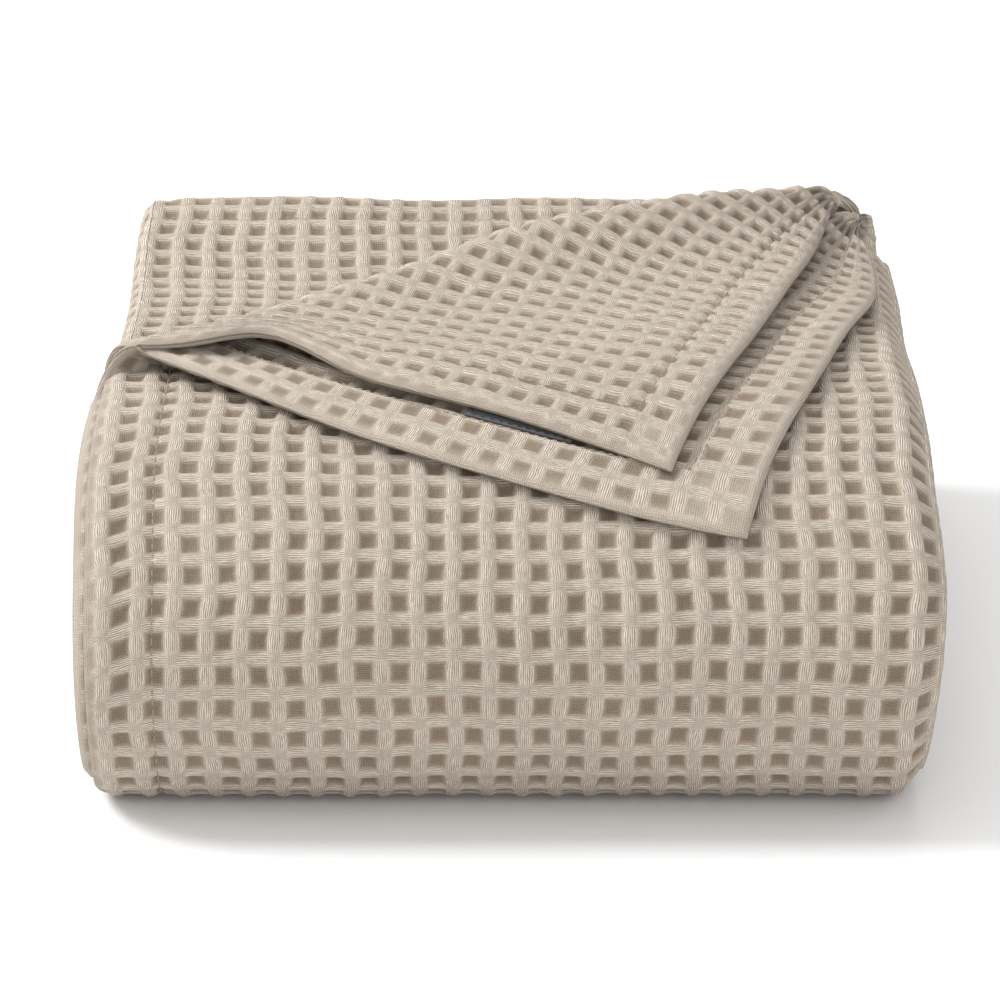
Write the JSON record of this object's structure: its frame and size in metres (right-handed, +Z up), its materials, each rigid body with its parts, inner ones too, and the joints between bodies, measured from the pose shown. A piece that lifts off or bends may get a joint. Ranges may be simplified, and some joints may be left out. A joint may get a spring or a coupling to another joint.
{
  "type": "folded throw blanket",
  "caption": "Folded waffle-weave throw blanket: a soft stack of nested plies with a rounded front and one corner turned back over the top along a slanting crease.",
  "frame": {"origin": "middle of the resting face, at the bottom of the stack's box", "axes": "+Z up, -Y towards the rounded front fold, +X towards the folded right side; +Y is the longest side"},
  "size_m": [0.3217, 0.4199, 0.1567],
  "materials": {
    "waffle_cotton": "matt waffle-weave cotton",
    "sewing_thread": "matt spun thread",
    "label_satin": "satin-woven label tape",
    "label_thread": "spun thread"
  },
  "bodies": {
    "folded_stack": {"outer_ply": "waffle_cotton", "second_ply": "waffle_cotton", "third_ply": "waffle_cotton", "fourth_ply": "waffle_cotton", "right_outer_fold": "waffle_cotton", "right_inner_fold": "waffle_cotton", "left_fold": "waffle_cotton", "inner_crease": "waffle_cotton", "outer_crease": "waffle_cotton", "side_hem_stitching": "sewing_thread", "end_hem_stitching": "sewing_thread"},
    "turned_corner": {"lower_flap": "waffle_cotton", "upper_flap": "waffle_cotton", "lower_flap_side_stitching": "sewing_thread", "lower_flap_end_stitching": "sewing_thread", "upper_flap_side_stitching": "sewing_thread", "upper_flap_end_stitching": "sewing_thread", "woven_label": "label_satin", "label_stitching": "label_thread"}
  },
  "joints": [
    {"name": "corner_crease", "type": "hinge", "parent": "folded_stack", "child": "turned_corner", "pos_m": [-0.036, 0.0175, 0.1359], "axis": [-0.8471, -0.5314, 0], "range_deg": [0, 75], "deforming": ["inner_crease", "outer_crease"]}
  ]
}
